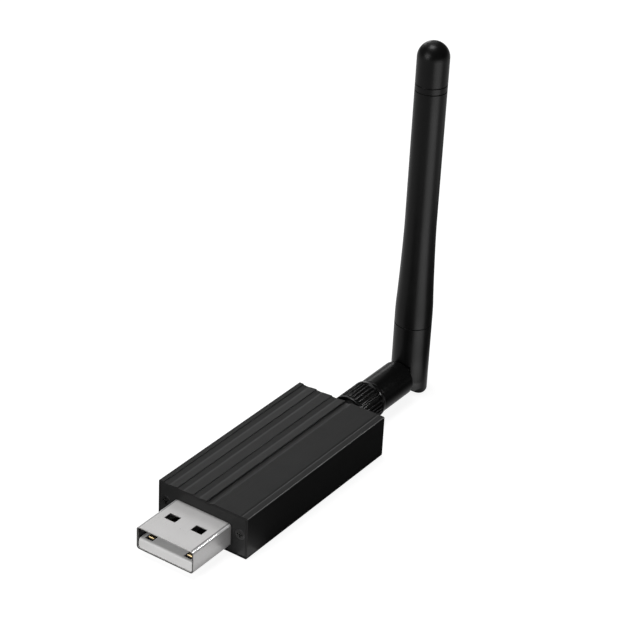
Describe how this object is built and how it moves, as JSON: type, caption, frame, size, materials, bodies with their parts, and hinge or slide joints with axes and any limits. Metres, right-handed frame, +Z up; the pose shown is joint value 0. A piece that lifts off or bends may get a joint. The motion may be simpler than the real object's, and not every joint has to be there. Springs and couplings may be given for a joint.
{
  "type": "usb radio stick",
  "caption": "Slim metal radio stick with a type A plug at one end and, at the other, a screw-on rod antenna that turns and folds at an elbow.",
  "frame": {"origin": "centre of the housing's flat underside", "axes": "+X from the plug towards the antenna, +Z up out of the ridged top, +Y to the side with the ridges"},
  "size_m": [0.0779, 0.019, 0.071],
  "materials": {
    "housing": "charcoal anodised, satin",
    "plates": "black anodised, satin",
    "screws": "black oxide",
    "plug_metal": "nickel plated",
    "pale_insulator": "pale moulded plastic",
    "gold_contacts": "gold plated",
    "board": "green solder mask",
    "shield_metal": "tin plated",
    "chip_black": "moulded black",
    "chip_tan": "ceramic",
    "led_clear": "clear",
    "jack_metal": "gold plated",
    "white_insulator": "white insulator",
    "nut_black": "black plated",
    "antenna_black": "satin black moulded",
    "pins_metal": "plain steel",
    "cable_jacket": "black jacket",
    "dipole_brass": "plain brass"
  },
  "bodies": {
    "stick": {"housing_extrusion": "housing", "front_plate": "plates", "rear_plate": "plates", "front_plate_screws": "screws", "rear_plate_screws": "screws", "plug_shell": "plug_metal", "plug_tongue": "pale_insulator", "plug_contact_1": "gold_contacts", "plug_contact_2": "gold_contacts", "plug_contact_3": "gold_contacts", "plug_contact_4": "gold_contacts", "circuit_board": "board", "radio_module_board": "board", "radio_shield_can": "shield_metal", "bridge_chip": "chip_black", "regulator": "chip_black", "crystal": "shield_metal", "capacitors": "chip_tan", "status_leds": "led_clear", "jack_body": "jack_metal", "jack_dielectric": "white_insulator", "jack_centre_pin": "gold_contacts", "jack_washer": "jack_metal"},
    "antenna_plug": {"antenna_plug_body": "jack_metal", "antenna_plug_dielectric": "white_insulator", "antenna_centre_socket": "gold_contacts"},
    "nut": {"coupling_nut": "nut_black"},
    "lower_arm": {"antenna_base": "antenna_black", "coax_cable": "cable_jacket"},
    "upper_arm": {"antenna_arm_block": "antenna_black", "elbow_pins": "pins_metal", "antenna_sleeve": "antenna_black", "antenna_cap": "antenna_black", "dipole_tube": "dipole_brass", "radiator_wire": "dipole_brass"}
  },
  "joints": [
    {"name": "antenna_back_off", "type": "slide", "parent": "stick", "child": "antenna_plug", "axis": [1, 0, 0], "range_m": [0, 0.0045]},
    {"name": "nut_turn", "type": "hinge", "parent": "antenna_plug", "child": "nut", "pos_m": [0.0266, 0, 0.00376], "axis": [1, 0, 0], "range_deg": [0, 2340]},
    {"name": "antenna_swivel", "type": "hinge", "parent": "antenna_plug", "child": "lower_arm", "pos_m": [0.035, 0, 0.00376], "axis": [1, 0, 0], "range_deg": [-180, 180]},
    {"name": "antenna_tilt", "type": "hinge", "parent": "lower_arm", "child": "upper_arm", "pos_m": [0.0437, 0, 0.00376], "axis": [0, 1, 0], "range_deg": [0, 90], "deforming": ["coax_cable"]}
  ],
  "couplings": [
    {"joint": "nut_turn", "follows": "antenna_back_off", "rad_per_m": 8904.7}
  ]
}
